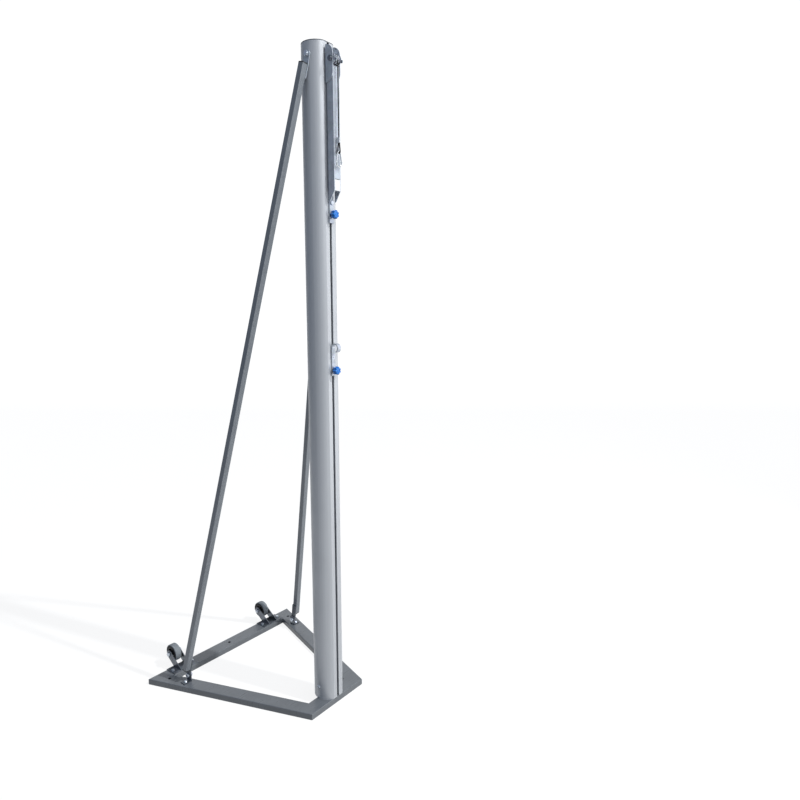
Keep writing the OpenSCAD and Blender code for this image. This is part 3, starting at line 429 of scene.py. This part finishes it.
def settle(name, mesh, angle=35):
    """An object from a mesh, with outward faces, smooth up to an angle in degrees."""
    work = bmesh.new()
    work.from_mesh(mesh)
    bmesh.ops.recalc_face_normals(work, faces=work.faces)
    work.to_mesh(mesh)
    work.free()
    mesh.polygons.foreach_set("use_smooth", np.ones(len(mesh.polygons), bool))
    mesh.set_sharp_from_angle(angle=math.radians(angle))
    return new_object(name, mesh)


def grid_mesh(name, points, close_rows=False):
    """A mesh from points[row, place, xyz]. Each cell of the grid is one face, every row is a
    closed ring, and the rows either close on themselves or end in one flat face each."""
    rows, ring = points.shape[:2]
    row = np.arange(rows if close_rows else rows - 1)[:, None]
    place = np.arange(ring)[None, :]
    after, beside = (row + 1) % rows, (place + 1) % ring
    cells = np.stack([row * ring + place, row * ring + beside,
                      after * ring + beside, after * ring + place], axis=-1)
    faces = cells.reshape(-1, 4).tolist()
    if not close_rows:
        faces += [list(range(ring)), list(range((rows - 1) * ring, rows * ring))]
    mesh = bpy.data.meshes.new(name)
    mesh.from_pydata(points.reshape(-1, 3).tolist(), [], faces)
    return mesh


def eased(node, body, key):
    """Makes a copy of a plated node with its cut edges rounded. Its loose triangles are
    merged, flat faces are joined, and a bevel of the edge radius follows each sharp edge."""
    mesh = NODES[node].data.copy()
    mesh.name = f"{node}_eased"
    work = bmesh.new()
    work.from_mesh(mesh)
    bmesh.ops.remove_doubles(work, verts=work.verts, dist=0.002 * MM)
    bmesh.ops.dissolve_limit(work, angle_limit=math.radians(1.0), verts=work.verts,
                             edges=work.edges)
    work.to_mesh(mesh)
    work.free()
    piece = settle(f"{node}_eased", mesh, 30)
    bevel = piece.modifiers.new("Edge", "BEVEL")
    bevel.width = sizes().edge
    bevel.segments = 2
    bevel.limit_method = "ANGLE"
    bevel.angle_limit = math.radians(40)
    bevel.use_clamp_overlap = True
    bevel.harden_normals = True
    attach(piece, body)
    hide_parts(node)
    finish(key, piece)


class NETPOST_OT_camera(bpy.types.Operator):
    """Places the camera where the photograph was taken from"""

    bl_idname = "net_post.camera"
    bl_label = "Camera"

    def execute(self, context):
        data = bpy.data.cameras.new("camera")
        data.sensor_width = SENSOR_W
        data.lens = FOCAL_PIXELS / FRAME_PIXELS * SENSOR_W
        data.clip_start, data.clip_end = 0.05, 100.0
        camera = new_object("camera", data)
        camera.location = CAMERA_AT
        ahead = Vector((AHEAD[0] * math.cos(TILT), AHEAD[1] * math.cos(TILT), -math.sin(TILT)))
        camera.rotation_euler = ahead.to_track_quat("-Z", "Y").to_euler()
        context.scene.camera = camera
        return {"FINISHED"}


class NETPOST_OT_cable(bpy.types.Operator):
    """Makes the free cable that hangs from the pulley to its sleeve"""

    bl_idname = "net_post.cable"
    bl_label = "Hanging cable"

    def execute(self, context):
        line = bpy.data.curves.new("hanging_cable", "CURVE")
        line.dimensions = "3D"
        line.bevel_depth = sizes().cable_d / 2
        line.bevel_resolution = 4
        line.use_fill_caps = True
        path = np.array(CABLE_EXIT) + np.array(CABLE_STEPS)
        spline = line.splines.new("POLY")
        spline.points.add(len(path) - 1)
        spline.points.foreach_set("co", np.c_[path, np.ones(len(path))].ravel())
        piece = new_object("hanging_cable", line)
        finish("cable", piece)
        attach(piece, "tension_lever")
        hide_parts("cable")
        return {"FINISHED"}


class NETPOST_OT_base(bpy.types.Operator):
    """Finishes the welded base frame and the spigot in the column's foot"""

    bl_idname = "net_post.base"
    bl_label = "Base frame"

    def execute(self, context):
        finish_nodes("powder_coat", "nose_bar", "left_arm", "right_arm", "rear_bar",
                     "foot_spigot")
        return {"FINISHED"}


class NETPOST_OT_column(bpy.types.Operator):
    """Finishes the column, its cap and its screws"""

    bl_idname = "net_post.column"
    bl_label = "Column"

    def execute(self, context):
        finish_nodes("anodised", "column")
        finish_nodes("cap", "top_cap")
        finish_nodes("zinc_bolts", "column_screws")
        return {"FINISHED"}


class NETPOST_OT_struts(bpy.types.Operator):
    """Finishes the struts, their ears, caps, bolts and brackets"""

    bl_idname = "net_post.struts"
    bl_label = "Struts"

    def execute(self, context):
        finish_nodes("strut_coat", "left_strut", "right_strut")
        finish_nodes("black", "strut_caps")
        finish_nodes("zinc_bolts", "brace_bolt", "brace_nut", "brace_washers", "foot_bolts",
                     "foot_nuts", "bracket_screws")
        for side in ("left", "right"):
            eased(f"{side}_upper_ear", "post", "zinc")
            for part in ("lower_ear", "foot_bracket"):
                # The lower ears and foot brackets take the darker zinc, which is painted shade
                eased(f"{side}_{part}", "post", "painted_shade_zinc")
        return {"FINISHED"}


def tread_points(centre, outer_r, inner_r, width, crown):
    """Rings round the axle, along a closed section. The outside is a crown, whose radius falls
    with the fourth power of the distance from the middle, with two fine grooves, and the
    shoulders are quarter circles."""
    around = np.linspace(0, 2 * np.pi, TREAD_STEPS, endpoint=False)
    half, soft = width / 2, SHOULDER_R
    turn = np.linspace(0, np.pi / 2, SHOULDER_STEPS)
    across = np.linspace(-1, 1, CROWN_STEPS) * (half - soft)
    groove = sum(np.exp(-((across - at) / GROOVE_HALF_W) ** 2) for at in GROOVES_AT)
    top = outer_r - crown * (np.abs(across) / half) ** 4 - GROOVE_DEPTH * groove
    side = top[0] - soft
    left = np.c_[side + soft * np.sin(turn), -half + soft - soft * np.cos(turn)]
    right = np.c_[side + soft * np.cos(turn), half - soft + soft * np.sin(turn)]
    walls = np.linspace(0, 1, WALL_STEPS + 2)[1:-1]
    down = np.c_[side - walls * (side - inner_r), np.full(WALL_STEPS, half)]
    up = np.c_[inner_r + walls * (side - inner_r), np.full(WALL_STEPS, -half)]
    section = np.concatenate([left, np.c_[top, across][1:-1], right, down,
                              [[inner_r, half], [inner_r, -half]], up])
    r, y = section[:, 0][:, None], section[:, 1][:, None]
    return np.stack([centre[0] + r * np.cos(around), centre[1] + y + 0 * around,
                     centre[2] + r * np.sin(around)], axis=-1)


class NETPOST_OT_wheels(bpy.types.Operator):
    """Makes the treads and finishes the hubs, brackets and axles"""

    bl_idname = "net_post.wheels"
    bl_label = "Transport wheels"

    def execute(self, context):
        for side in ("left", "right"):
            centre = JOINTS[f"{side}_wheel_spin"]["pos_m"]
            points = tread_points(centre, sizes().tread_d / 2, SEAT_R, sizes().tread_w,
                                  sizes().tread_crown)
            tread = settle(f"{side}_tread", grid_mesh(f"{side}_tread", points, True))
            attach(tread, f"{side}_wheel")
            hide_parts(f"{side}_tyre")
            finish("tread", tread)
            finish_nodes("hub", f"{side}_wheel_hub")
            # The fork brackets take the darker zinc, which is painted shade and painted dark
            # reflection
            eased(f"{side}_caster_bracket", "post", "painted_shade_zinc")
        finish_nodes("zinc_bolts", "caster_bolts", "wheel_axles", "axle_nuts")
        return {"FINISHED"}


def knob_points(centre, outer_r, thick, points, bore_r):
    """Rings round the stud, from the back of the bore to the middle of the front. Between the
    points the radius dips by a cosine to a power, so that the points stay broad, and the dip
    fades towards the middle of the face. The section has round edges, a face that swells, a
    shallow ring groove, and a raised middle."""
    around = np.linspace(0, 2 * np.pi, POINT_STEPS * points, endpoint=False)
    section = np.array([  # share of the radius, of the thickness, and of the dip
        (bore_r / outer_r, 0.0, 0), (0.55, 0.0, 0), (0.84, 0.0, 0.7), (0.93, 0.04, 0.95),
        (0.98, 0.12, 1), (1.0, 0.25, 1), (1.0, 0.7, 1), (0.99, 0.8, 1), (0.95, 0.9, 1),
        (0.88, 0.965, 0.95), (0.78, 0.985, 0.8), (0.66, 1.0, 0.45), (0.56, 1.0, 0.15),
        (0.52, 0.985, 0), (0.5, 0.93, 0), (0.46, 0.92, 0), (0.44, 0.94, 0), (0.4, 0.97, 0),
        (0.25, 0.99, 0), (0.1, 1.0, 0), (0.012, 1.0, 0)])
    dip = KNOB_DIP * (0.5 - 0.5 * np.cos(points * around)) ** KNOB_POWER
    # Turned by half of the way from point to point
    dip = np.roll(dip, POINT_STEPS // 2)
    ring = outer_r * section[:, 0][:, None] * (1 - section[:, 2][:, None] * dip[None, :])
    x = centre[0] + section[:, 1][:, None] * thick + 0 * around
    return np.stack([x, centre[1] + ring * np.cos(around), centre[2] + ring * np.sin(around)],
                    axis=-1)


class NETPOST_OT_knobs(bpy.types.Operator):
    """Makes the two blue star knobs and finishes their studs"""

    bl_idname = "net_post.knobs"
    bl_label = "Star knobs"

    def execute(self, context):
        for name, body in (("hook", "hook_clamp"), ("tension", "tension_clamp")):
            low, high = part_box(f"{name}_knob")
            centre = (low.x, 0.0, (low.z + high.z) / 2)
            points = knob_points(centre, sizes().knob_d / 2, sizes().knob_t,
                                 sizes().knob_points, KNOB_BORE_R)
            knob = settle(f"{name}_star_knob", grid_mesh(f"{name}_star_knob", points), 50)
            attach(knob, body)
            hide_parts(f"{name}_knob")
            finish("blue", knob)
            finish_nodes("black", f"{name}_stud")
        return {"FINISHED"}


class NETPOST_OT_net_hook(bpy.types.Operator):
    """Finishes the sliding net hook, its slide nut and its screw"""

    bl_idname = "net_post.net_hook"
    bl_label = "Net hook"

    def execute(self, context):
        eased("hook_plate", "net_hook", "zinc")
        finish_nodes("zinc", "hook_slide_nut")
        finish_nodes("zinc_bolts", "hook_screw")
        return {"FINISHED"}


class NETPOST_OT_tensioner(bpy.types.Operator):
    """Finishes the tension bar, head bracket, lever, pulley and bolts"""

    bl_idname = "net_post.tensioner"
    bl_label = "Cable tensioner"

    def execute(self, context):
        for node in ("tension_bar", "head_bracket"):
            eased(node, "tensioner", "zinc")
        eased("lever", "tension_lever", "zinc")
        finish_nodes("zinc", "tension_slide_nuts", "pulley", "cable_anchor")
        finish_nodes("zinc_bolts", "tension_bolt", "head_screw", "pulley_spacers")
        # The pivot bolt, its nut and the keeper pin take the darker zinc, which is painted shade
        finish_nodes("painted_shade_zinc", "pivot_bolt", "pivot_nut", "keeper_pin")
        finish_nodes("grip", "lever_grip")
        finish_nodes("cable", "cable_run")
        return {"FINISHED"}


class NETPOST_OT_snap_hook(bpy.types.Operator):
    """Finishes the cable's sleeve and eye, and the snap hook"""

    bl_idname = "net_post.snap_hook"
    bl_label = "Snap hook"

    def execute(self, context):
        finish_nodes("sleeve", "ferrule")
        finish_nodes("cable", "cable_eye")
        finish_nodes("steel", "carabiner", "carabiner_gate", "gate_pin")
        return {"FINISHED"}


def studio_paper():
    """Matt paper roll: white where the camera or a gloss sees it, less where the object keeps
    the light from it, with painted shade that dims its glow to the left of the camera's view and
    towards the camera, and a dark grey for the light that it gives back."""
    made = bpy.data.materials.new("matt_paper_roll")
    made.use_nodes = True
    tree = made.node_tree
    tree.nodes.clear()
    rays = add(tree, "ShaderNodeLightPath").outputs
    seen = add(tree, MATH, {"operation": "MAXIMUM"},
               {0: rays["Is Camera Ray"], 1: rays["Is Glossy Ray"]})
    seen = add(tree, MATH, {"operation": "MAXIMUM"},
               {0: seen, 1: rays["Is Transmission Ray"]})
    dull = add(tree, "ShaderNodeBsdfDiffuse", {"Color": (*[GREY_BACK] * 3, 1.0)})
    lit = add(tree, "ShaderNodeBsdfDiffuse", {"Color": (*[GREY_SEEN] * 3, 1.0)})
    place = add(tree, "ShaderNodeTexCoord").outputs["Object"]
    rise = add(tree, "ShaderNodeSeparateXYZ", links={"Vector": place}).outputs["Z"]
    white = add(tree, RANGE, {"To Min": GLOW_LOW, "To Max": GLOW_HIGH}, {"Value": rise})
    # How far a place lies to the left of the post and, by its share, towards the camera
    beyond = [-r - FADE_LEAN * a for r, a in zip(RIGHT, AHEAD)]
    aside = add(tree, "ShaderNodeVectorMath", {"operation": "DOT_PRODUCT", 1: (*beyond, 0.0)},
                {0: place}).outputs["Value"]
    # Painted shade: the paper's glow dims with that distance
    painted_dimming = add(tree, RANGE, {"interpolation_type": "SMOOTHSTEP", "From Min": FADE_FROM,
                             "From Max": FADE_TO, "To Min": 1.0, "To Max": FADE_LEFT},
               {"Value": aside})
    white = add(tree, MATH, {"operation": "MULTIPLY"}, {0: white, 1: painted_dimming})
    glow = add(tree, "ShaderNodeEmission", links={"Strength": white})
    white = add(tree, "ShaderNodeAddShader", links={0: lit, 1: glow})
    both = add(tree, "ShaderNodeMixShader", links={0: seen, 1: dull, 2: white})
    add(tree, "ShaderNodeOutputMaterial", links={"Surface": both})
    return made


def paper_mesh():
    """A mesh between two long edges, which run flat, then up a quarter circle, and then
    upright, with one four-sided face for each step of the way."""
    turn = np.linspace(0, np.pi / 2, CURVE_STEPS)
    run = np.concatenate([[PAPER_FROM], PAPER_CURVE + PAPER_R * np.sin(turn),
                          [PAPER_CURVE + PAPER_R]])
    rise = np.concatenate([[0.0], PAPER_R - PAPER_R * np.cos(turn), [PAPER_TOP]])
    side = np.array([-PAPER_SIDE, PAPER_SIDE])
    flat = run[:, None, None] * np.array(AHEAD) + side[None, :, None] * np.array(RIGHT)
    points = np.concatenate([flat, np.repeat(rise[:, None, None], 2, axis=1)], axis=-1)
    rows = np.arange(len(run) - 1)[:, None] * 2 + np.array([[0, 1, 3, 2]])
    mesh = bpy.data.meshes.new("paper_roll")
    mesh.from_pydata(points.reshape(-1, 3).tolist(), [], rows.tolist())
    mesh.polygons.foreach_set("use_smooth", np.ones(len(mesh.polygons), bool))
    return mesh


def heading(azimuth, height=0.0):
    """The way to an azimuth and a height above level, both in degrees, as a unit vector."""
    turn, rise = math.radians(azimuth), math.radians(height)
    return np.array((math.cos(turn) * math.cos(rise), math.sin(turn) * math.cos(rise),
                     math.sin(rise)))


def lamp(name, kind, energy, back, place=(0.0, 0.0, 0.0), **settings):
    """Adds a lamp at a place, with its back turned to the way given. The settings are those
    of its kind."""
    light = bpy.data.lights.new(name, kind)
    light.energy = energy
    for key, value in settings.items():
        setattr(light, key, value)
    made = new_object(name, light)
    made.location = place
    made.rotation_euler = Vector(back).to_track_quat("Z", "Y").to_euler()


class NETPOST_OT_studio(bpy.types.Operator):
    """Makes the pale floor that curves up into a backdrop, and the soft light"""

    bl_idname = "net_post.studio"
    bl_label = "Studio"

    def execute(self, context):
        paper = new_object("paper_roll", paper_mesh())
        paper.data.materials.append(studio_paper())
        # A high lamp on the rail's side, which throws the shadows on the base
        lamp("high_lamp", "SUN", energy=2.15, back=heading(13.5, 48), angle=math.radians(1.5))
        # A low, broad fill from behind. The paper keeps most of it off the post, and what
        # passes lifts the column's upper part a little
        lamp("back_fill", "SUN", energy=1.7, back=heading(142, 10), angle=math.radians(50))
        # A wide soft box beside the high lamp, 3.2 m from the post and 2.75 m up, which the
        # metals reflect as their long upright highlight
        beside = heading(29)
        lamp("soft_box", "AREA", energy=100, back=beside, place=3.2 * beside + (0, 0, 2.75),
             shape="RECTANGLE", size=5.0, size_y=5.4)
        # A small soft box on the camera's side, 2.2 m from the post, 3.2 m up and aimed at
        # 2.3 m, so that the column is brightest at its top
        above = 2.2 * heading(-16) + (0, 0, 3.2)
        lamp("head_box", "AREA", energy=17, back=above - (0, 0, 2.3), place=above, size=1.2)
        world = bpy.data.worlds.new("studio")
        context.scene.world = world
        world.use_nodes = True
        tree = world.node_tree
        tree.nodes.clear()
        sky = add(tree, "ShaderNodeBackground", {"Color": (*linear("#cfdcf2"), 1.0),
                                                 "Strength": 0.46})
        add(tree, "ShaderNodeOutputWorld", links={"Surface": sky})
        context.scene.view_settings.view_transform = "Standard"
        return {"FINISHED"}


STEPS = (NETPOST_OT_camera, NETPOST_OT_cable, NETPOST_OT_base, NETPOST_OT_column,
         NETPOST_OT_struts, NETPOST_OT_wheels, NETPOST_OT_knobs, NETPOST_OT_net_hook,
         NETPOST_OT_tensioner, NETPOST_OT_snap_hook, NETPOST_OT_studio)


class NETPOST_PT_steps(bpy.types.Panel):
    """Lists the net post's pieces, sizes and colours"""

    bl_label = "Net Post"
    bl_idname = "NETPOST_PT_steps"
    bl_space_type = "VIEW_3D"
    bl_region_type = "UI"
    bl_category = "Net Post"

    def draw(self, context):
        for step in STEPS:
            self.layout.operator(step.bl_idname)
        for group in (context.scene.net_post_sizes, context.scene.net_post_colours):
            box = self.layout.box()
            for key in group.bl_rna.properties.keys():
                if key not in ("rna_type", "name"):
                    box.prop(group, key)


CLASSES = (NetPostSizes, NetPostColours, *STEPS, NETPOST_PT_steps)


def register():
    for item in CLASSES:
        bpy.utils.register_class(item)
    bpy.types.Scene.net_post_sizes = PointerProperty(type=NetPostSizes)
    bpy.types.Scene.net_post_colours = PointerProperty(type=NetPostColours)


def unregister():
    del bpy.types.Scene.net_post_colours
    del bpy.types.Scene.net_post_sizes
    for item in reversed(CLASSES):
        bpy.utils.unregister_class(item)


def main():
    register()
    for step in STEPS:
        group, name = step.bl_idname.split(".")
        getattr(getattr(bpy.ops, group), name)()


if __name__ == "__main__":
    main()
